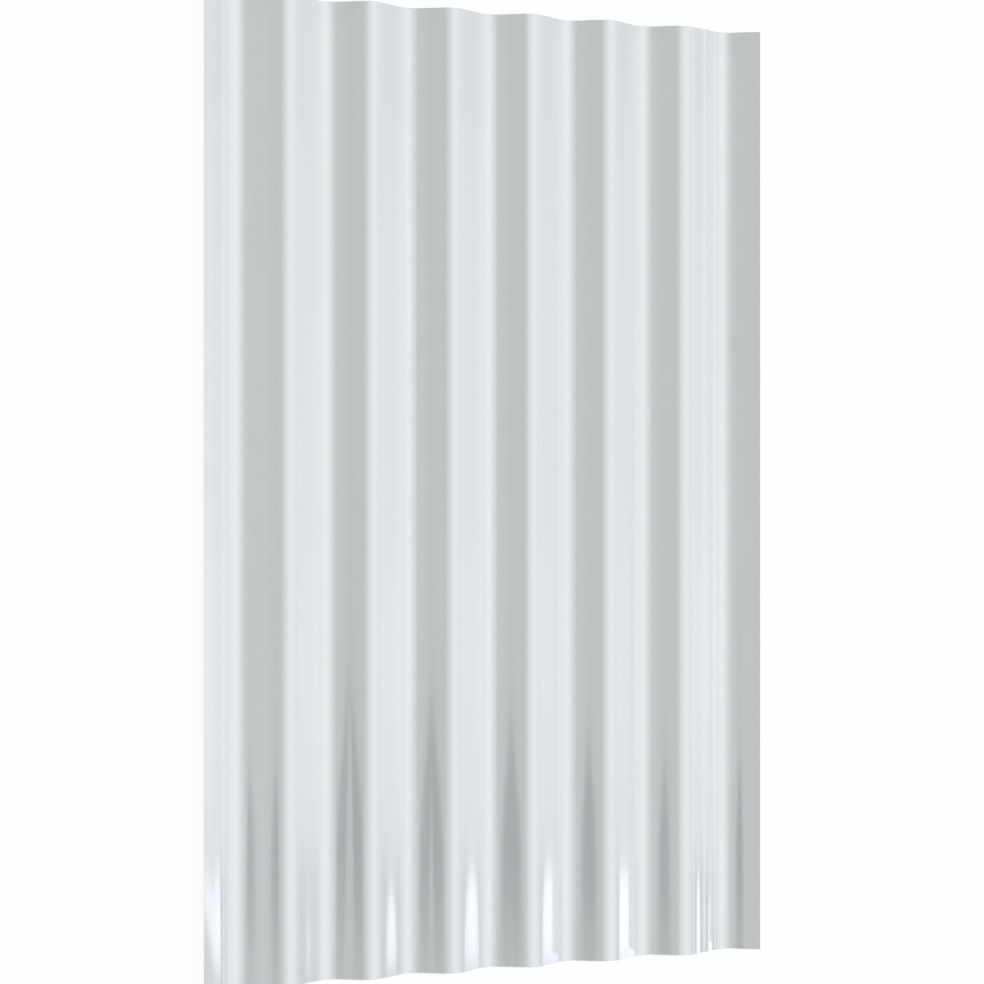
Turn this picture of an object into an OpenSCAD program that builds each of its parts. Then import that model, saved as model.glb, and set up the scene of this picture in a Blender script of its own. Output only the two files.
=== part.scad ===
// Corrugated metal sheet: one roll-formed steel sheet that lies flat, visible face up.
// The waves run along Y and repeat along X. The sheet rests on its valleys at Z = 0, and
// its origin is under its centre. Past the outer valleys the steel runs out straight, at
// the slope of the waves, and is sheared where it is level with the crests.

/* [Sheet] */
// Length of the sheet, along its waves
sheet_length = 860; // [300:10:2400]
// Number of waves across the sheet, each of them with one valley
wave_count = 7; // [2:1:12]
// Thickness of the coated steel
gauge = 0.5; // [0.4:0.05:1.2]

/* [Wave] */
// Distance from one crest to the next, and share of the sheet's width for each wave
pitch = 76; // [68:0.5:90]
// Rise of one face of the sheet, from its valleys to its crests
depth = 15; // [8:0.5:20]
// Radius of the bends at the crests and valleys, on the middle line of the steel
bend_radius = 20.5; // [8:0.5:26]

/* [Hidden] */

// Sides of the circles that stand for true round bends
$fn = 96;
// Length by which a solid that gets trimmed, or that trims another, passes the sheet
overrun = 5;
// Height of a bend's circle over the flat webs beside it, so that they cross in a clean line
bend_proud = 0.002;

half_gauge = gauge / 2;
sheet_width = wave_count * pitch;
rolled_length = sheet_length + 2 * overrun;
rolled_half_width = sheet_width / 2 + overrun;
// Level that the blocks under both faces reach down to
block_floor_z = -2 * overrun;

// Heights of the bends' centres: over a valley, and under a crest
valley_centre_z = half_gauge + bend_radius;
crest_centre_z = half_gauge + depth - bend_radius;
centre_drop = valley_centre_z - crest_centre_z;

// Slope of the flat web that touches two bends whose centres are this far apart across the sheet
function slope_between(run) =
    asin(2 * bend_radius / norm([run, centre_drop])) - atan2(centre_drop, run);

// The outer webs keep the slope of the waves until their top is level with the crests, which
// takes less width than half a wave. So the outer valleys are set out by the rest.
wave_slope = slope_between(pitch / 2);
edge_bend_r = bend_radius - half_gauge;
edge_bend_rise = edge_bend_r * (1 - cos(wave_slope));
edge_run = edge_bend_r * sin(wave_slope) + (depth - edge_bend_rise) / tan(wave_slope);
set_out = pitch / 2 - edge_run;

// The bends are counted from the left: even ones are valleys, odd ones are crests
last_bend = 2 * wave_count - 2;
function is_crest(k) = k % 2 == 1;
function bend_set_out(k) = k == 0 ? -set_out : k == last_bend ? set_out : 0;
function bend_x(k) = (k + 1 - wave_count) * pitch / 2 + bend_set_out(k);
function bend_z(k) = is_crest(k) ? crest_centre_z : valley_centre_z;

// Slope of the web to the right of a bend, or right of the left edge for bend -1
function web_slope(k) =
    k < 0 || k == last_bend ? wave_slope : slope_between(bend_x(k + 1) - bend_x(k));

// Corners of the wave with its bends still cut flat: the points where webs meet the bends
function web_corners(crest_r, valley_r) = [
    for (k = [0 : last_bend])
        for (side = [-1, 1])
            let (slope = web_slope(side < 0 ? k - 1 : k))
                is_crest(k)
                    ? [bend_x(k) + side * crest_r * sin(slope), bend_z(k) + crest_r * cos(slope)]
                    : [bend_x(k) + side * valley_r * sin(slope), bend_z(k) - valley_r * cos(slope)]
];

// End of the outer web on one side, past the sheared edge
function web_end(side, corner) = [
    side * rolled_half_width,
    corner[1] + (rolled_half_width - abs(corner[0])) * tan(wave_slope)
];

// Round bar along the sheet that shapes one bend
module bend_bar(k, radius) {
    translate([bend_x(k), 0, bend_z(k)])
        rotate([90, 0, 0])
            cylinder(r = radius + bend_proud, h = rolled_length, center = true);
}

// All that lies under a face of the wave, which is lifted off the middle line of the steel
module under_face(lift) {
    crest_r = bend_radius + lift;
    valley_r = bend_radius - lift;
    corners = web_corners(crest_r, valley_r);
    left_end = web_end(-1, corners[0]);
    right_end = web_end(1, corners[len(corners) - 1]);
    foot = [[rolled_half_width, block_floor_z], [-rolled_half_width, block_floor_z]];
    difference() {
        union() {
            rotate([90, 0, 0])
                linear_extrude(rolled_length, center = true)
                    polygon(concat([left_end], corners, [right_end], foot));
            for (k = [1 : 2 : last_bend])
                bend_bar(k, crest_r);
        }
        for (k = [0 : 2 : last_bend])
            bend_bar(k, valley_r);
    }
}

// Block that shears the sheet square at its four sides
module sheared_outline() {
    translate([-sheet_width / 2, -sheet_length / 2, -overrun])
        cube([sheet_width, sheet_length, depth + gauge + 2 * overrun]);
}

module corrugated_sheet() {
    color("gainsboro")
        difference() {
            intersection() {
                under_face(half_gauge);
                sheared_outline();
            }
            under_face(-half_gauge);
        }
}

corrugated_sheet();
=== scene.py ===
# %% [markdown]
# # A corrugated steel sheet
# The part is one thin sheet of coated steel, rolled into seven rounded waves. It lies on its valleys,
# and the camera looks down on it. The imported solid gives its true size, and this lesson gives it a fine
# mesh, its three finishes and the studio that its gloss coat mirrors.

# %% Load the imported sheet
import math

import bmesh
import bpy
from mathutils import Matrix, Vector


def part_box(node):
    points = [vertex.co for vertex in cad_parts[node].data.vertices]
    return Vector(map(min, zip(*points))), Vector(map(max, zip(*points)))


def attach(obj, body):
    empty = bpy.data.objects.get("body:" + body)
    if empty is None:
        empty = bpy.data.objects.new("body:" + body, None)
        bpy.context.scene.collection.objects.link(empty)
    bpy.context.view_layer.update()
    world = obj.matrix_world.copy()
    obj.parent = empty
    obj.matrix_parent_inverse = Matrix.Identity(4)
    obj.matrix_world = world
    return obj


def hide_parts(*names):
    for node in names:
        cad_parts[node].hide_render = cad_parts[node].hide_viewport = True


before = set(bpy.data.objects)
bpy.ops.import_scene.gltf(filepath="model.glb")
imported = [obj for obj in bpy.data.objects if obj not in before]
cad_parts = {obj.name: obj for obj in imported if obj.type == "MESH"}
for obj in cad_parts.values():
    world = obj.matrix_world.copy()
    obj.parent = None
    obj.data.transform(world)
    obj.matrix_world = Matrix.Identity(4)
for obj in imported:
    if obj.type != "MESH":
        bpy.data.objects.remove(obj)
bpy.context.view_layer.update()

# %% [markdown]
# ## The camera
# The sheet is seen from its left, and from straight above the middle of its length. A long lens from a
# little over two metres keeps the waves nearly parallel, with the left edge a little larger than the right.
# A camera can be aimed by hand, but this one's place and lens were worked out from the corners of the
# sheet, so they are set as numbers.

# %% Camera over the left half of the sheet
MM = 0.001
FRAME_PX = 984
FOCAL_PX = 2277.5
SENSOR_W = 36.0
VIEW_LEAN = math.radians(20.54)
CAMERA_AT = Vector((-718.5, -1.3, 1926.6)) * MM

camera_data = bpy.data.cameras.new("camera")
camera_data.sensor_width = SENSOR_W
camera_data.lens = SENSOR_W * FOCAL_PX / FRAME_PX
camera = bpy.data.objects.new("camera", camera_data)
bpy.context.scene.collection.objects.link(camera)
camera.matrix_world = Matrix.Translation(CAMERA_AT) @ Matrix.Rotation(-VIEW_LEAN, 4, "Y")
bpy.context.scene.camera = camera
bpy.context.scene.view_settings.view_transform = "Standard"
print("Camera lens", round(camera_data.lens, 1), "mm, leaning", round(math.degrees(VIEW_LEAN), 1), "degrees")

# %% [markdown]
# ## The line of the wave
# A roll former leaves round bends at the crests and valleys, with a nearly flat web between each two. Past
# the outer valleys the steel runs out until it is level with the crests. The line could be a sine, but arcs
# and tangents are what rollers make, so the bends are circles and each web touches the bends beside it.

# %% Sizes of the wave
low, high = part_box("corrugated_sheet")
WAVES = 7
GAUGE = 0.5 * MM
BEND_RADIUS = 20.5 * MM
WIDTH = high.x - low.x
LENGTH = high.y - low.y
PITCH = WIDTH / WAVES
DEPTH = high.z - GAUGE
HALF_GAUGE = GAUGE / 2
VALLEY_CENTRE_Z = HALF_GAUGE + BEND_RADIUS
CREST_CENTRE_Z = HALF_GAUGE + DEPTH - BEND_RADIUS
CENTRE_DROP = VALLEY_CENTRE_Z - CREST_CENTRE_Z


def slope_between(run):
    """Slope of the web that touches two bends whose centres are this far apart across the sheet."""
    return math.asin(2 * BEND_RADIUS / math.hypot(run, CENTRE_DROP)) - math.atan2(CENTRE_DROP, run)


WAVE_SLOPE = slope_between(PITCH / 2)
VALLEY_R = BEND_RADIUS - HALF_GAUGE
edge_web_rise = DEPTH - VALLEY_R * (1 - math.cos(WAVE_SLOPE))
EDGE_RUN = VALLEY_R * math.sin(WAVE_SLOPE) + edge_web_rise / math.tan(WAVE_SLOPE)
SET_OUT = PITCH / 2 - EDGE_RUN
LAST_BEND = 2 * WAVES - 2
print("Webs slope", round(math.degrees(WAVE_SLOPE), 2), "degrees, outer valleys set out",
      round(SET_OUT / MM, 2), "mm")

# %% Bends from the left edge to the right
def is_crest(k):
    """Even bends are valleys, odd ones are crests."""
    return k % 2 == 1


def bend_centre(k):
    """Centre of bend k. The outer valleys are set out a little from the regular wave."""
    set_out = -SET_OUT if k == 0 else SET_OUT if k == LAST_BEND else 0
    x = (k + 1 - WAVES) * PITCH / 2 + set_out
    return Vector((x, 0, CREST_CENTRE_Z if is_crest(k) else VALLEY_CENTRE_Z))


print("Outer bends at", [round(bend_centre(k).x / MM, 1) for k in (0, LAST_BEND)], "mm")

# %% [markdown]
# ### Webs with a slight spring
# Rolled steel springs back where the rollers let it go, so a web is never dead flat: it is steepest in its
# middle, by a few degrees. The outline hides that, but the gloss coat shows it, because what a web mirrors
# narrows to a point. A curve could be drawn through points, but two slight arcs keep the line smooth: each
# half of a web is an arc of a far larger circle, which touches its bend from inside and meets the other
# half in the web's middle. The flanks that face left sprang a little more than those that face right.

# %% The two slight arcs of a web
RIGHT_FLANK, LEFT_FLANK = math.radians(29.8), math.radians(31.5)
FLANK_AT = {LAST_BEND - 3: math.radians(28.9)}


def web_arcs(k):
    """Slope where the web right of bend k starts, slope in its middle, and the centres of its two arcs."""
    middle = (bend_centre(k) + bend_centre(k + 1)) / 2
    out = middle - bend_centre(k)
    steepest = FLANK_AT.get(k, RIGHT_FLANK if is_crest(k) else LEFT_FLANK)
    inward = Vector((-math.sin(steepest), 0, math.cos(steepest) * (-1 if is_crest(k) else 1)))
    radius = (BEND_RADIUS ** 2 - out.length_squared) / (2 * (inward.dot(out) + BEND_RADIUS))
    to_bend = out + radius * inward
    start = math.atan2(abs(to_bend.x), abs(to_bend.z))
    return start, steepest, middle + radius * inward, middle - radius * inward


start, steepest = web_arcs(LAST_BEND // 2)[:2]
print("A web runs from", round(math.degrees(start), 1), "to", round(math.degrees(steepest), 1), "degrees")

# %% Arcs drawn with spins
BEND_STEP = math.radians(2)
WEB_STEP = math.radians(0.8)

bm = bmesh.new()


def swing(vert, centre, turn, over, step):
    """Draws an arc round a centre, over the top of a crest or under a valley, and returns its end."""
    spun = bmesh.ops.spin(
        bm, geom=[vert], cent=centre, axis=(0, 1, 0), dvec=(0, 0, 0), angle=turn if over else -turn,
        steps=math.ceil(turn / step), use_merge=False,
    )
    return next(g for g in spun["geom_last"] if isinstance(g, bmesh.types.BMVert))


def draw_web(vert, k):
    """Draws both arcs of the web right of bend k, and returns its end."""
    start, steepest, near, far = web_arcs(k)
    vert = swing(vert, near, steepest - start, is_crest(k), WEB_STEP)
    return swing(vert, far, steepest - start, is_crest(k + 1), WEB_STEP)


print("Bends drawn in steps of", round(math.degrees(BEND_STEP), 1), "degrees")

# %% [markdown]
# ### Pressed webs beside the outer valleys
# The outer passes of the rollers press harder, so the webs beside the outer valleys are steepest a little
# past their bends, and relax from there. The left edge keeps curling up to its cut, and the right one
# relaxes. Such a web could be bent with a lattice. A chain of arcs is better, because each arc starts at the
# slope that the last one reached, so the line stays smooth.

# %% Arcs that steer the line to a slope
SHEAR_ALLOWANCE = 2 * MM


def face_up(slope):
    """Direction square to the line where it has this slope."""
    return Vector((-math.sin(slope), 0, math.cos(slope)))


def steer(vert, slope_from, slope_to, radius):
    """Draws an arc onwards to the right that turns the line from one slope to another."""
    over = slope_to < slope_from
    centre = vert.co + face_up(slope_from) * (-radius - HALF_GAUGE if over else radius - HALF_GAUGE)
    return swing(vert, centre, abs(slope_to - slope_from), over, WEB_STEP)


def run_out(vert, side, slope):
    """Draws the straight end of the steel, past where the shear will cut it."""
    run = WIDTH / 2 + SHEAR_ALLOWANCE - abs(vert.co.x)
    end = bmesh.ops.extrude_vert_indiv(bm, verts=[vert])["verts"][0]
    end.co = vert.co + Vector((side * run, 0, run * math.tan(slope)))


def draw_pressed(vert, k, start, pressed, radius):
    """Draws the web right of bend k, steepest a little past the bends at its ends, and returns its end."""
    sign = -1 if is_crest(k) else 1
    start, pressed = sign * start, sign * pressed
    vert = steer(vert, start, pressed, radius)
    ahead = (bend_centre(k) + bend_centre(k + 1)) / 2 + HALF_GAUGE * face_up(pressed) - vert.co
    relaxed = 2 * math.atan2(ahead.z, ahead.x) - pressed
    relax_radius = ahead.x / abs(math.sin(pressed) - math.sin(relaxed))
    vert = steer(vert, pressed, relaxed, relax_radius)
    vert = steer(vert, relaxed, pressed, relax_radius)
    return steer(vert, pressed, start, radius)


print("Webs drawn in steps of", round(math.degrees(WEB_STEP), 1), "degrees")

# %% Draw the left edge
LEFT_FROM, LEFT_PRESSED, LEFT_CUT = math.radians(-15.0), math.radians(-33.0), math.radians(-37.5)
LEFT_PRESS_RADIUS, LEFT_CURL_RADIUS = 40 * MM, 230 * MM

press_centre = bend_centre(0) + (LEFT_PRESS_RADIUS - BEND_RADIUS) * face_up(LEFT_FROM)
curl_centre = press_centre + (LEFT_CURL_RADIUS - LEFT_PRESS_RADIUS) * face_up(LEFT_PRESSED)
tip = bm.verts.new(curl_centre - (LEFT_CURL_RADIUS - HALF_GAUGE) * face_up(LEFT_CUT))
run_out(tip, -1, -LEFT_CUT)
tip = steer(tip, LEFT_CUT, LEFT_PRESSED, LEFT_CURL_RADIUS)
tip = steer(tip, LEFT_PRESSED, LEFT_FROM, LEFT_PRESS_RADIUS)
print("Left edge of", len(bm.edges), "pieces")

# %% Draw the waves and the right edge
PRESSED = {
    0: (math.radians(21.0), math.radians(26.5), 36 * MM),
    LAST_BEND - 1: (math.radians(18.5), math.radians(27.0), 52 * MM),
}
RIGHT_FROM, RIGHT_PRESSED, RIGHT_CUT = math.radians(24.0), math.radians(33.0), math.radians(27.8)
RIGHT_PRESS_RADIUS, RIGHT_RELAX_RADIUS = 54 * MM, 60 * MM

slope_in = -LEFT_FROM
for k in range(LAST_BEND):
    slope_out = PRESSED[k][0] if k in PRESSED else web_arcs(k)[0]
    tip = swing(tip, bend_centre(k), slope_in + slope_out, is_crest(k), BEND_STEP)
    tip = draw_pressed(tip, k, *PRESSED[k]) if k in PRESSED else draw_web(tip, k)
    slope_in = slope_out
tip = swing(tip, bend_centre(LAST_BEND), slope_in + RIGHT_FROM, False, BEND_STEP)
tip = steer(tip, RIGHT_FROM, RIGHT_PRESSED, RIGHT_PRESS_RADIUS)
tip = steer(tip, RIGHT_PRESSED, RIGHT_CUT, RIGHT_RELAX_RADIUS)
run_out(tip, 1, RIGHT_CUT)
print("Top line of", len(bm.edges), "pieces")

# %% [markdown]
# ## From the line to sheared steel
# The line becomes a face when it is pulled along the waves, and steel when it gets its thickness. Both
# long sides are then cut upright, as a guillotine shears them, so the face was drawn a little too wide.
# Modifiers could do the same, but operators leave a plain mesh, whose faces can be sorted by finish.

# %% Roll out the length
LENGTH_STRIPS = 17

rolled = bmesh.ops.extrude_edge_only(bm, edges=bm.edges[:])["geom"]
far_verts = [g for g in rolled if isinstance(g, bmesh.types.BMVert)]
bmesh.ops.translate(bm, verts=far_verts, vec=(0, LENGTH, 0))
bmesh.ops.translate(bm, verts=bm.verts[:], vec=(0, -LENGTH / 2, 0))
long_edges = [e for e in bm.edges if abs(e.verts[0].co.y - e.verts[1].co.y) > LENGTH / 2]
bmesh.ops.subdivide_edges(bm, edges=long_edges, cuts=LENGTH_STRIPS - 1, use_grid_fill=True)
bmesh.ops.recalc_face_normals(bm, faces=bm.faces[:])
if sum(f.normal.z for f in bm.faces) < 0:
    bmesh.ops.reverse_faces(bm, faces=bm.faces[:])
print("Rolled face of", len(bm.faces), "strips")

# %% Thicken downwards and shear both sides
SHORTEST_CUT = 1 * MM

bmesh.ops.solidify(bm, geom=bm.faces[:], thickness=GAUGE)
for side in (-1, 1):
    cut = bmesh.ops.bisect_plane(
        bm, geom=bm.verts[:] + bm.edges[:] + bm.faces[:], plane_co=(side * WIDTH / 2, 0, 0),
        plane_no=(side, 0, 0), clear_outer=True,
    )["geom_cut"]
    long_cuts = [g for g in cut if isinstance(g, bmesh.types.BMEdge) and g.is_boundary
                 and abs(g.verts[0].co.y - g.verts[1].co.y) > SHORTEST_CUT]
    sheared = bmesh.ops.bridge_loops(bm, edges=long_cuts)["faces"]
    bm.normal_update()
    turned = [f for f in sheared if f.normal.x * side < 0]
    bmesh.ops.reverse_faces(bm, faces=turned)
    print("Sheared side of", len(sheared), "faces, from", len(long_cuts), "cut edges")
bm.normal_update()
print("Open edges left:", sum(1 for e in bm.edges if not e.is_manifold))

# %% Sort the faces by finish
TOP, UNDERSIDE, CUT = 0, 1, 2
UP_LIMIT = 0.5

through = bm.verts.layers.float.new("through_steel")
for face in bm.faces:
    if face.normal.z > UP_LIMIT:
        face.material_index = TOP
    elif face.normal.z < -UP_LIMIT:
        face.material_index = UNDERSIDE
        for vert in face.verts:
            vert[through] = 1.0
    else:
        face.material_index = CUT
    face.smooth = True
sorted_faces = [sum(1 for f in bm.faces if f.material_index == i) for i in (TOP, UNDERSIDE, CUT)]
print("Faces by finish:", sorted_faces)

# %% Break the sharp cut edges
EDGE_BREAK = 0.05 * MM
SHARP = math.radians(45)
FACETED = math.radians(15)

rim = [e for e in bm.edges if e.is_manifold and e.calc_face_angle() > SHARP]
bmesh.ops.bevel(
    bm, geom=rim, offset=EDGE_BREAK, offset_type="OFFSET", affect="EDGES", segments=2, profile=0.5,
    material=-1, clamp_overlap=True,
)
sheet_mesh = bpy.data.meshes.new("rolled_sheet")
bm.to_mesh(sheet_mesh)
bm.free()
sheet_mesh.set_sharp_from_angle(angle=FACETED)
sheet = bpy.data.objects.new("rolled_sheet", sheet_mesh)
bpy.context.scene.collection.objects.link(sheet)
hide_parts("corrugated_sheet")
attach(sheet, "root")
print("Sheet of", len(sheet_mesh.polygons), "faces")

# %% [markdown]
# ## Finishes
# Coil-coated steel is painted flat, before it is rolled. The weather face has a gloss polyester coat, the
# underside a thin satin backing coat, and the shears leave bare steel along the cuts. Pictures could be
# wrapped over the sheet, but nodes give each grain its real size at any distance.

# %% Helpers for colours and nodes
# Sockets of a Mix node that hold its two numbers or its two colours, and those that give the result
NUMBER_A, NUMBER_B, COLOUR_A, COLOUR_B = 2, 3, 6, 7
NUMBER_OUT, COLOUR_OUT = 0, 2


def linear(hex_colour):
    """Linear RGBA of an sRGB hex colour, by the sRGB standard's curve."""
    def channel(value):
        return value / 12.92 if value <= 0.04045 else ((value + 0.055) / 1.055) ** 2.4
    return [channel(int(hex_colour[i:i + 2], 16) / 255) for i in (1, 3, 5)] + [1.0]


def add_node(tree, kind, inputs=(), **settings):
    """Adds a node, sets its properties, and sets or links its inputs by name or number."""
    node = tree.nodes.new(kind)
    for name, value in settings.items():
        setattr(node, name, value)
    for name, value in dict(inputs).items():
        if isinstance(value, bpy.types.NodeSocket):
            tree.links.new(value, node.inputs[name])
        else:
            node.inputs[name].default_value = value
    return node


def new_material(name):
    """A material with an empty node tree."""
    material = bpy.data.materials.new(name)
    material.use_nodes = True
    material.node_tree.nodes.clear()
    return material, material.node_tree


print("Middle grey is", round(linear("#808080")[0], 3), "in linear light")

# %% [markdown]
# ### Gloss polyester coil coat
# The coat is a pale grey with a hint of blue, rolled on wet, so it is smooth with a faint orange peel. The
# forming rolls add lines along the waves that only show as a slight unevenness in the gloss. One glossy
# shader would look like plastic. A clear gloss lies over the pigment, so the shader has a sharp coat over
# a duller base.

# %% Pattern of the weather face
COAT_PALE, COAT_DEEP = "#DDE3E3", "#D9DFDF"
SHADE_PATCH = 160 * MM
ROLL_LINE_W, ROLL_LINE_L = 4 * MM, 700 * MM
# Real orange peel is finer, and is drawn this coarse so that it shows
PEEL_GRAIN = 6 * MM
PATCH_DETAIL, LINE_DETAIL, PEEL_DETAIL = 2.0, 3.0, 1.0

gloss_coat, tree = new_material("gloss_polyester_coil_coat")
place = add_node(tree, "ShaderNodeTexCoord").outputs["Object"]
patches = add_node(tree, "ShaderNodeTexNoise", {
    "Vector": place, "Scale": 1 / SHADE_PATCH, "Detail": PATCH_DETAIL})
tint = add_node(tree, "ShaderNodeMix", {
    "Factor": patches.outputs["Fac"], COLOUR_A: linear(COAT_DEEP),
    COLOUR_B: linear(COAT_PALE)}, data_type="RGBA")
along = add_node(tree, "ShaderNodeMapping", {
    "Vector": place, "Scale": (1 / ROLL_LINE_W, 1 / ROLL_LINE_L, 1 / ROLL_LINE_W)})
roll_lines = add_node(tree, "ShaderNodeTexNoise", {
    "Vector": along.outputs["Vector"], "Scale": 1.0, "Detail": LINE_DETAIL})
peel = add_node(tree, "ShaderNodeTexNoise", {
    "Vector": place, "Scale": 1 / PEEL_GRAIN, "Detail": PEEL_DETAIL})
print("Patterns of the weather face:", len(tree.nodes), "nodes")

# %% Gloss of the weather face
ROLL_LINE_HIGH = 0.0008 * MM
PEEL_HIGH = 0.0012 * MM
PIGMENT_DULL = (0.12, 0.16)
GLOSS_DULL = 0.07
PIGMENT_IOR, GLOSS_IOR = 1.6, 1.8

lined = add_node(tree, "ShaderNodeBump", {
    "Height": roll_lines.outputs["Fac"], "Distance": ROLL_LINE_HIGH, "Strength": 1.0})
peeled = add_node(tree, "ShaderNodeBump", {
    "Height": peel.outputs["Fac"], "Distance": PEEL_HIGH, "Strength": 1.0, "Normal": lined.outputs["Normal"]})
dull = add_node(tree, "ShaderNodeMapRange", {
    "Value": roll_lines.outputs["Fac"], "To Min": PIGMENT_DULL[0], "To Max": PIGMENT_DULL[1]})
# The eye sees a light, cool grey under sharp mirrored streaks
coat = add_node(tree, "ShaderNodeBsdfPrincipled", {
    "Base Color": tint.outputs[COLOUR_OUT], "Roughness": dull.outputs["Result"], "IOR": PIGMENT_IOR,
    "Normal": peeled.outputs["Normal"], "Coat Weight": 1.0, "Coat Roughness": GLOSS_DULL,
    "Coat IOR": GLOSS_IOR, "Coat Normal": peeled.outputs["Normal"]})
add_node(tree, "ShaderNodeOutputMaterial", {"Surface": coat.outputs["BSDF"]})
print("Weather face:", len(tree.nodes), "nodes")

# %% [markdown]
# ### Satin backing coat
# The underside gets a thin epoxy coat that only has to last until the sheet is fixed. It is greyer than the
# weather face, with a low sheen, and slightly cloudy where the film is thin. A flat colour would do from
# afar, but one noise for both the cloud and the sheen shows how thin the film is.

# %% Underside
BACK_PALE, BACK_DEEP = "#C6C9C8", "#B9BDBC"
CLOUD = 45 * MM
# The film's own grain is finer, and is drawn this coarse so that it shows
BACK_GRAIN = 2.5 * MM
BACK_GRAIN_HIGH = 0.004 * MM
CLOUD_DETAIL, BACK_GRAIN_DETAIL = 4.0, 2.0
BACK_DULL = (0.42, 0.55)
BACK_IOR = 1.5

backing_coat, tree = new_material("satin_epoxy_backing_coat")
place = add_node(tree, "ShaderNodeTexCoord").outputs["Object"]
clouds = add_node(tree, "ShaderNodeTexNoise", {"Vector": place, "Scale": 1 / CLOUD, "Detail": CLOUD_DETAIL})
tint = add_node(tree, "ShaderNodeMix", {
    "Factor": clouds.outputs["Fac"], COLOUR_A: linear(BACK_DEEP),
    COLOUR_B: linear(BACK_PALE)}, data_type="RGBA")
grain = add_node(tree, "ShaderNodeTexNoise", {
    "Vector": place, "Scale": 1 / BACK_GRAIN, "Detail": BACK_GRAIN_DETAIL})
rough = add_node(tree, "ShaderNodeBump", {
    "Height": grain.outputs["Fac"], "Distance": BACK_GRAIN_HIGH, "Strength": 1.0})
sheen = add_node(tree, "ShaderNodeMapRange", {
    "Value": clouds.outputs["Fac"], "To Min": BACK_DULL[0], "To Max": BACK_DULL[1]})
# The eye sees a plain grey that catches light softly and mirrors nothing
back = add_node(tree, "ShaderNodeBsdfPrincipled", {
    "Base Color": tint.outputs[COLOUR_OUT], "Roughness": sheen.outputs["Result"], "IOR": BACK_IOR,
    "Normal": rough.outputs["Normal"]})
add_node(tree, "ShaderNodeOutputMaterial", {"Surface": back.outputs["BSDF"]})
print("Underside:", len(tree.nodes), "nodes")

# %% [markdown]
# ### Sheared galvanised steel
# A shear polishes the first third of the cut and tears the rest, so the bare edge has a bright band over a
# dull one. A picture of it would need an unwrapped edge. Instead the mesh stores how deep each point lies
# in the steel, and the finish follows that.

# %% Cut edges
CUT_BRIGHT, CUT_TORN = "#C4C7C9", "#8E9294"
POLISHED_TO, TORN_FROM = 0.25, 0.45
# Real tears are finer than the steel is thick, and are drawn this coarse so that they show
TEAR_W = 0.8 * MM
TEAR_DETAIL = 3.0
CUT_DULL = (0.3, 0.65)

cut_steel, tree = new_material("sheared_galvanised_steel")
place = add_node(tree, "ShaderNodeTexCoord").outputs["Object"]
depth_in = add_node(tree, "ShaderNodeAttribute", attribute_name="through_steel").outputs["Fac"]
torn = add_node(tree, "ShaderNodeMapRange", {
    "Value": depth_in, "From Min": POLISHED_TO, "From Max": TORN_FROM})
tears = add_node(tree, "ShaderNodeTexNoise", {"Vector": place, "Scale": 1 / TEAR_W, "Detail": TEAR_DETAIL})
tint = add_node(tree, "ShaderNodeMix", {
    "Factor": torn.outputs["Result"], COLOUR_A: linear(CUT_BRIGHT),
    COLOUR_B: linear(CUT_TORN)}, data_type="RGBA")
worn = add_node(tree, "ShaderNodeMath", {
    0: torn.outputs["Result"], 1: tears.outputs["Fac"]}, operation="MULTIPLY")
dull = add_node(tree, "ShaderNodeMapRange", {
    "Value": worn.outputs["Value"], "To Min": CUT_DULL[0], "To Max": CUT_DULL[1]})
# The eye sees a thin bright line along the cut, with a grey one under it
bare = add_node(tree, "ShaderNodeBsdfPrincipled", {
    "Base Color": tint.outputs[COLOUR_OUT], "Metallic": 1.0, "Roughness": dull.outputs["Result"]})
add_node(tree, "ShaderNodeOutputMaterial", {"Surface": bare.outputs["BSDF"]})
for finish in (gloss_coat, backing_coat, cut_steel):
    sheet_mesh.materials.append(finish)
print("Cut edges:", len(tree.nodes), "nodes")

# %% [markdown]
# ## The studio
# A gloss coat shows what is around it as much as its own colour. One broad softbox hangs to the right of
# the sheet: the slopes that face it are light, and the slopes that face away are a shade darker. The floor
# is white, and more lamps could keep it so, but they would wash out the sheet. So it glows for the camera,
# with a small share of plain paint that keeps a faint shadow of the sheet.

# %% White floor that keeps the shadow
FLOOR_HALF = 6.0
FLOOR_DROP = 0.05 * MM
FLOOR_WHITE = "#FFFFFF"
FLOOR_GLOW_SHARE = 0.96

bm = bmesh.new()
bmesh.ops.create_grid(bm, x_segments=1, y_segments=1, size=FLOOR_HALF)
bmesh.ops.translate(bm, verts=bm.verts[:], vec=(0, 0, -FLOOR_DROP))
floor_mesh = bpy.data.meshes.new("floor")
bm.to_mesh(floor_mesh)
bm.free()
floor = bpy.data.objects.new("floor", floor_mesh)
bpy.context.scene.collection.objects.link(floor)

# The eye sees an even white, with a faint shadow beside the sheet
white_floor, tree = new_material("matt_white_studio_floor")
path = add_node(tree, "ShaderNodeLightPath")
seen = add_node(tree, "ShaderNodeMath", {
    0: path.outputs["Is Camera Ray"], 1: path.outputs["Is Glossy Ray"]}, operation="MAXIMUM")
seen = add_node(tree, "ShaderNodeMath", {
    0: seen.outputs["Value"], 1: path.outputs["Is Transmission Ray"]}, operation="MAXIMUM")
share = add_node(tree, "ShaderNodeMath", {
    0: seen.outputs["Value"], 1: FLOOR_GLOW_SHARE}, operation="MULTIPLY")
paint = add_node(tree, "ShaderNodeBsdfDiffuse", {"Color": linear(FLOOR_WHITE)})
glow = add_node(tree, "ShaderNodeEmission", {"Color": linear(FLOOR_WHITE), "Strength": 1.0})
both = add_node(tree, "ShaderNodeMixShader", {
    0: share.outputs["Value"], 1: paint.outputs["BSDF"], 2: glow.outputs["Emission"]})
add_node(tree, "ShaderNodeOutputMaterial", {"Surface": both.outputs["Shader"]})
floor_mesh.materials.append(white_floor)
print("Floor", 2 * FLOOR_HALF, "m wide")

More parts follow.
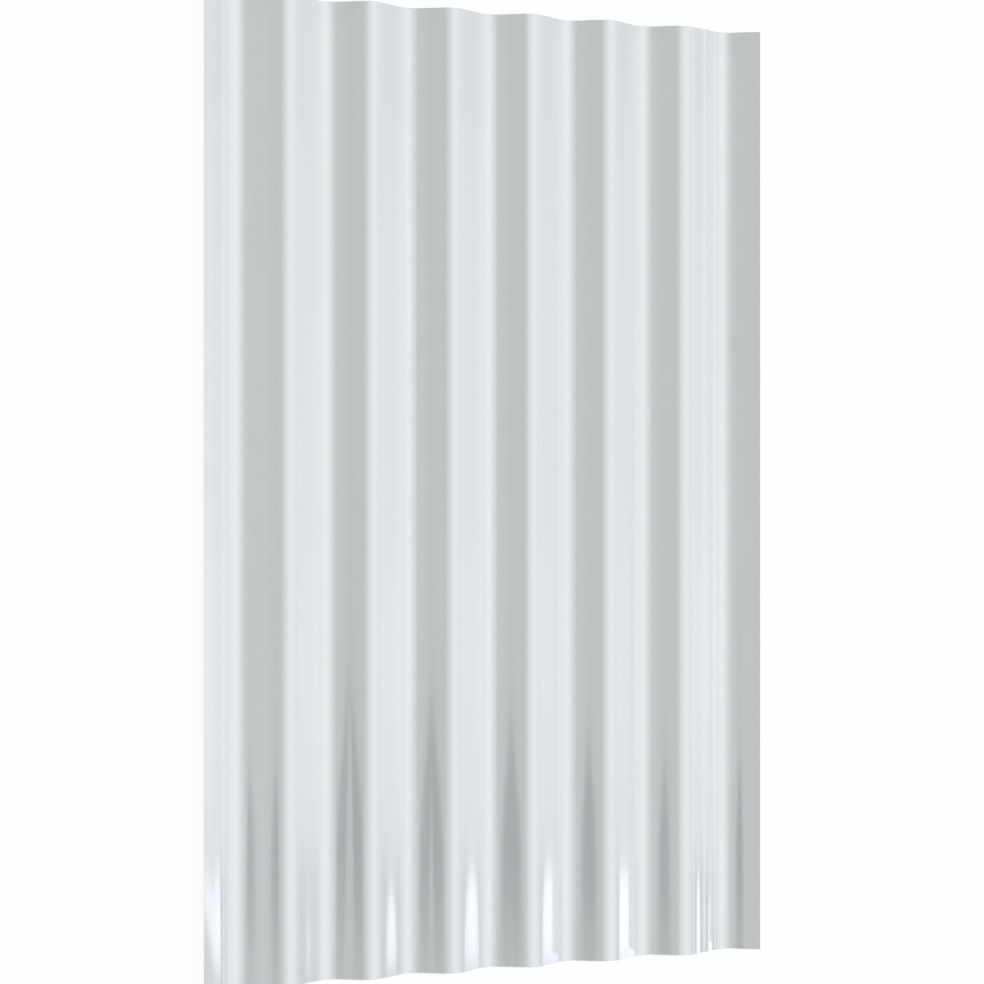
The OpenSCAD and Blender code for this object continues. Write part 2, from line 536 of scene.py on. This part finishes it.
# %% Softbox far to the right
SOFTBOX_LEAN = math.radians(25)
SOFTBOX_FAR = 12.0
SOFTBOX_WIDE, SOFTBOX_LONG = 8.8, 18.0
SOFTBOX_RADIANCE = 2.86
SOFTBOX_TINT = "#FCFBFD"
# Watts that an area lamp needs on each square metre for a radiance of 1
WATTS_PER_RADIANCE = 4

softbox_data = bpy.data.lights.new("softbox", "AREA")
softbox_data.shape = "RECTANGLE"
softbox_data.size, softbox_data.size_y = SOFTBOX_WIDE, SOFTBOX_LONG
softbox_data.energy = WATTS_PER_RADIANCE * SOFTBOX_WIDE * SOFTBOX_LONG * SOFTBOX_RADIANCE
softbox_data.color = linear(SOFTBOX_TINT)[:3]
softbox = bpy.data.objects.new("softbox", softbox_data)
bpy.context.scene.collection.objects.link(softbox)
softbox.matrix_world = Matrix.Rotation(SOFTBOX_LEAN, 4, "Y") @ Matrix.Translation((0, 0, SOFTBOX_FAR))
softbox.visible_camera = False
softbox.visible_glossy = False
print("Softbox of", round(softbox_data.energy), "W")

# %% [markdown]
# ### What the gloss coat mirrors
# The waves only tilt to the left and right, so each slope mirrors one upright strip of the studio. The strip
# is told by its lean: 0 is overhead, 90 is the right-hand wall, -90 the left. Where it lies along the sheet
# is told by its depth, which grows to the front. Panels could stand round the sheet, but they would shade
# it. So the world's nodes paint the studio by lean and depth, for mirrored rays alone: white walls under a
# softbox, with a dark doorway, a skylight and a low window. The even light comes from the lamp, and the
# camera sees plain white.

# %% Lean and depth of a mirrored ray
world = bpy.data.worlds.new("studio")
bpy.context.scene.world = world
world.use_nodes = True
world.cycles.sampling_method = "NONE"
tree = world.node_tree
tree.nodes.clear()
way = add_node(tree, "ShaderNodeSeparateXYZ", {
    "Vector": add_node(tree, "ShaderNodeTexCoord").outputs["Generated"]})
lean = add_node(tree, "ShaderNodeMath", {0: way.outputs["X"], 1: way.outputs["Z"]}, operation="ARCTAN2")
lean = add_node(tree, "ShaderNodeMath", {0: lean.outputs["Value"]}, operation="DEGREES").outputs["Value"]
forth = add_node(tree, "ShaderNodeMath", {
    0: 0.0, 1: way.outputs["Y"]}, operation="SUBTRACT").outputs["Value"]
print("Mirrored rays told by lean and depth:", len(tree.nodes), "nodes")

# %% [markdown]
# #### White walls
# Over the sheet the light changes across the waves, from the left wall to the softbox and down to the right.
# On the right-hand wall it changes along them, and the front end is open and dark. One long table of strips
# could say that, but two ramps are easier to read, with a soft step from one to the other. The foot of the
# right wall is dimmer, and its base, which shows most in the left edge, is lighter again.

# %% Light across the waves, and along the right wall
# Brightness is stored as a share of this level, because the colours of a ramp end at 1
TOP_LEVEL = 2.5
ACROSS = (
    (-90, 1.10), (-45, 1.16), (-36, 1.16), (-28, 1.04), (-14, 1.46), (6, 1.86), (22, 2.05), (38, 1.60),
    (54, 1.30), (75, 1.20), (90, 1.20),
)
ALONG = (
    (-0.25, 0.92), (-0.195, 0.98), (-0.126, 1.22), (-0.083, 1.26), (-0.04, 1.28), (0.01, 1.30),
    (0.04, 1.52), (0.083, 1.55), (0.109, 1.45), (0.148, 1.22), (0.171, 0.35), (0.25, 0.25),
)

levels = []
for value, stops in ((lean, ACROSS), (forth, ALONG)):
    first, last = stops[0][0], stops[-1][0]
    spread = add_node(tree, "ShaderNodeMapRange", {"Value": value, "From Min": first, "From Max": last})
    ramp = add_node(tree, "ShaderNodeValToRGB", {"Fac": spread.outputs["Result"]})
    ramp.color_ramp.interpolation = "EASE"
    marks = ramp.color_ramp.elements
    while len(marks) < len(stops):
        marks.new(1.0)
    for mark, (spot, level) in zip(marks, stops):
        mark.position = (spot - first) / (last - first)
        mark.color = [level / TOP_LEVEL] * 3 + [1.0]
    levels.append(ramp.outputs["Color"])
print("Ramps of", len(ACROSS), "and", len(ALONG), "levels")

# %% One picture of the walls
RIGHT_WALL = (48, 64)
WALL_FOOT, WALL_FOOT_LEVEL = (73, 83), 0.76
WALL_BASE, WALL_BASE_LEVEL = (80.2, 84.5), 1.5

right = add_node(tree, "ShaderNodeMapRange", {
    "Value": lean, "From Min": RIGHT_WALL[0], "From Max": RIGHT_WALL[1]}, interpolation_type="SMOOTHSTEP")
walls = add_node(tree, "ShaderNodeMix", {
    "Factor": right.outputs["Result"], COLOUR_A: levels[0], COLOUR_B: levels[1]}, data_type="RGBA")
walls = add_node(tree, "ShaderNodeMath", {
    0: walls.outputs[COLOUR_OUT], 1: TOP_LEVEL}, operation="MULTIPLY").outputs["Value"]
for (start, end), level in ((WALL_FOOT, WALL_FOOT_LEVEL), (WALL_BASE, WALL_BASE_LEVEL)):
    shade = add_node(tree, "ShaderNodeMapRange", {
        "Value": lean, "From Min": start, "From Max": end, "To Min": 1.0, "To Max": level})
    walls = add_node(tree, "ShaderNodeMath", {
        0: walls, 1: shade.outputs["Result"]}, operation="MULTIPLY").outputs["Value"]
print("Walls:", len(tree.nodes), "nodes")

# %% [markdown]
# #### Openings in the walls
# The dark flames near the front of the left-facing slopes are a doorway, the bright ones on the right-facing
# slopes a window, and the fine bright lines on the last of those slopes a skylight. Each could be a picture,
# but nodes stay smooth at any size: an edge runs from the place where the opening isn't there to the place
# where it is full, and an opening is where all its edges are full.

# %% Dark doorway at the front, on the left
DOOR_LEVEL = 0.0
DOOR_FAR_SIDE, DOOR_NEAR_SIDE = (-49.4, -48.0), (-30.0, -34.5)
DOOR_TOP, DOOR_FOOT = (0.298, 0.320), (0.232, 0.158)
DOOR_SLANT, DOOR_TAPER = 0.005, 40.0

slanted = add_node(tree, "ShaderNodeMath", {
    0: lean, 1: -DOOR_SLANT, 2: forth}, operation="MULTIPLY_ADD").outputs["Value"]
tapered = add_node(tree, "ShaderNodeMath", {
    0: forth, 1: -DOOR_TAPER, 2: lean}, operation="MULTIPLY_ADD").outputs["Value"]
doorway = ((tapered, DOOR_FAR_SIDE), (lean, DOOR_NEAR_SIDE), (slanted, DOOR_TOP), (forth, DOOR_FOOT))
print("Doorway of", len(doorway), "soft edges")

# %% Skylight strip and low window on the right
SKYLIGHT_LEVEL = 1.85
SKYLIGHT_HIGH, SKYLIGHT_LOW = (62.4, 64.2), (68.0, 66.4)
WINDOW_LEVEL = 3.2
WINDOW_DEPTHS = (0.155, 0.205)
WINDOW_LEANS = (74.0, 80.3)
WINDOW_CURVE = 2.5
WINDOW_SILL = (0.0, 1.0)
WINDOW_TOP, WINDOW_FOOT, WINDOW_SIDE = (0.156, 0.170), (0.210, 0.198), (83.2, 82.0)

skylight = ((lean, SKYLIGHT_HIGH), (lean, SKYLIGHT_LOW))
rise = add_node(tree, "ShaderNodeMapRange", {
    "Value": forth, "From Min": WINDOW_DEPTHS[1], "From Max": WINDOW_DEPTHS[0]})
rise = add_node(tree, "ShaderNodeMath", {
    0: rise.outputs["Result"], 1: WINDOW_CURVE}, operation="POWER")
sill = add_node(tree, "ShaderNodeMapRange", {
    "Value": rise.outputs["Value"], "To Min": WINDOW_LEANS[0], "To Max": WINDOW_LEANS[1]})
past = add_node(tree, "ShaderNodeMath", {
    0: lean, 1: sill.outputs["Result"]}, operation="SUBTRACT").outputs["Value"]
window = ((past, WINDOW_SILL), (forth, WINDOW_TOP), (forth, WINDOW_FOOT), (lean, WINDOW_SIDE))
print("Window between depths", WINDOW_DEPTHS)

# %% Lower pane of the window, which only the left edge mirrors
PANE_SIDE = (81.8, 83.0)
PANE_LIFT, PANE_TOP = 0.0015, (0.2865, 0.3055)
PANE_SLANT, PANE_FOOT = 310.0, (145.9, 142.7)

lifted = add_node(tree, "ShaderNodeMath", {
    0: lean, 1: PANE_LIFT, 2: forth}, operation="MULTIPLY_ADD").outputs["Value"]
capped = add_node(tree, "ShaderNodeMath", {
    0: forth, 1: PANE_SLANT, 2: lean}, operation="MULTIPLY_ADD").outputs["Value"]
lower_pane = ((lean, PANE_SIDE), (lifted, PANE_TOP), (capped, PANE_FOOT))
print("Lower pane from lean", PANE_SIDE[0])

# %% Set the openings into the walls
mirrored = walls
for level, edges in (
    (DOOR_LEVEL, doorway), (SKYLIGHT_LEVEL, skylight), (WINDOW_LEVEL, window), (WINDOW_LEVEL, lower_pane),
):
    opened = 1.0
    for value, (clear, full) in edges:
        edge = add_node(tree, "ShaderNodeMapRange", {
            "Value": value, "From Min": clear, "From Max": full}, interpolation_type="SMOOTHSTEP")
        opened = add_node(tree, "ShaderNodeMath", {
            0: opened, 1: edge.outputs["Result"]}, operation="MULTIPLY").outputs["Value"]
    mirrored = add_node(tree, "ShaderNodeMix", {
        "Factor": opened, NUMBER_A: mirrored, NUMBER_B: level}, data_type="FLOAT").outputs[NUMBER_OUT]
print("Walls with openings:", len(tree.nodes), "nodes")

# %% [markdown]
# #### Who sees what
# A world lights everything alike. Light Path tells its rays apart: mirrored rays get the painted studio,
# with the right wall a little cool from the sky, the camera gets white, and the rest a slight fill.

# %% Plain white for the camera, even fill for the rest
FILL = 0.03
WALL_TINT, SKY_TINT = "#FFFFFF", "#EEF2FF"

path = add_node(tree, "ShaderNodeLightPath")
strength = add_node(tree, "ShaderNodeMix", {
    "Factor": path.outputs["Is Glossy Ray"], NUMBER_A: FILL, NUMBER_B: mirrored}, data_type="FLOAT")
seen = add_node(tree, "ShaderNodeMath", {
    0: path.outputs["Is Camera Ray"], 1: path.outputs["Is Transmission Ray"]}, operation="MAXIMUM")
strength = add_node(tree, "ShaderNodeMix", {
    "Factor": seen.outputs["Value"], NUMBER_A: strength.outputs[NUMBER_OUT],
    NUMBER_B: 1.0}, data_type="FLOAT")
cool = add_node(tree, "ShaderNodeMath", {
    0: right.outputs["Result"], 1: path.outputs["Is Glossy Ray"]}, operation="MULTIPLY")
tone = add_node(tree, "ShaderNodeMix", {
    "Factor": cool.outputs["Value"], COLOUR_A: linear(WALL_TINT),
    COLOUR_B: linear(SKY_TINT)}, data_type="RGBA")
light = add_node(tree, "ShaderNodeBackground", {
    "Color": tone.outputs[COLOUR_OUT], "Strength": strength.outputs[NUMBER_OUT]})
add_node(tree, "ShaderNodeOutputWorld", {"Surface": light.outputs["Background"]})
print("World:", len(tree.nodes), "nodes")
